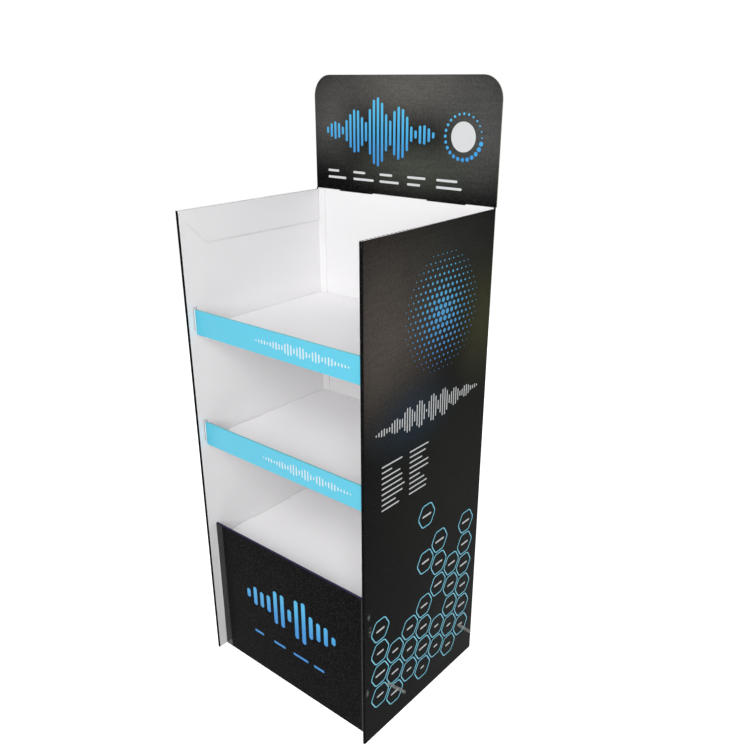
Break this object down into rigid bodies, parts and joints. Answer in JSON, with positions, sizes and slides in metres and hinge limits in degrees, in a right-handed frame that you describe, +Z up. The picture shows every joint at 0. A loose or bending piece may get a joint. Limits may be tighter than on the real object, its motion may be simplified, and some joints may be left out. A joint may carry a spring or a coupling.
{
  "type": "cardboard display stand",
  "caption": "Free-standing folded cardboard shop display with open shelves, coloured shelf lips, a closed front panel at the base and a rounded header card.",
  "frame": {"origin": "centre of the footprint's box, on the floor", "axes": "+Z up, -Y towards the shopper in front of the shelves, +X to the shopper's right"},
  "size_m": [0.54, 0.4584, 1.472],
  "materials": {
    "body_board": "black gloss-laminated outside, white inside",
    "header_board": null,
    "shelf_board": "cyan gloss laminate on the lip, white deck",
    "base_board": "black and blue gloss laminate in front, white deck"
  },
  "bodies": {
    "root": {"body_wrap": "body_board", "header_card": "header_board", "upper_shelf": "shelf_board", "middle_shelf": "shelf_board", "base_tray": "base_board"}
  },
  "joints": []
}
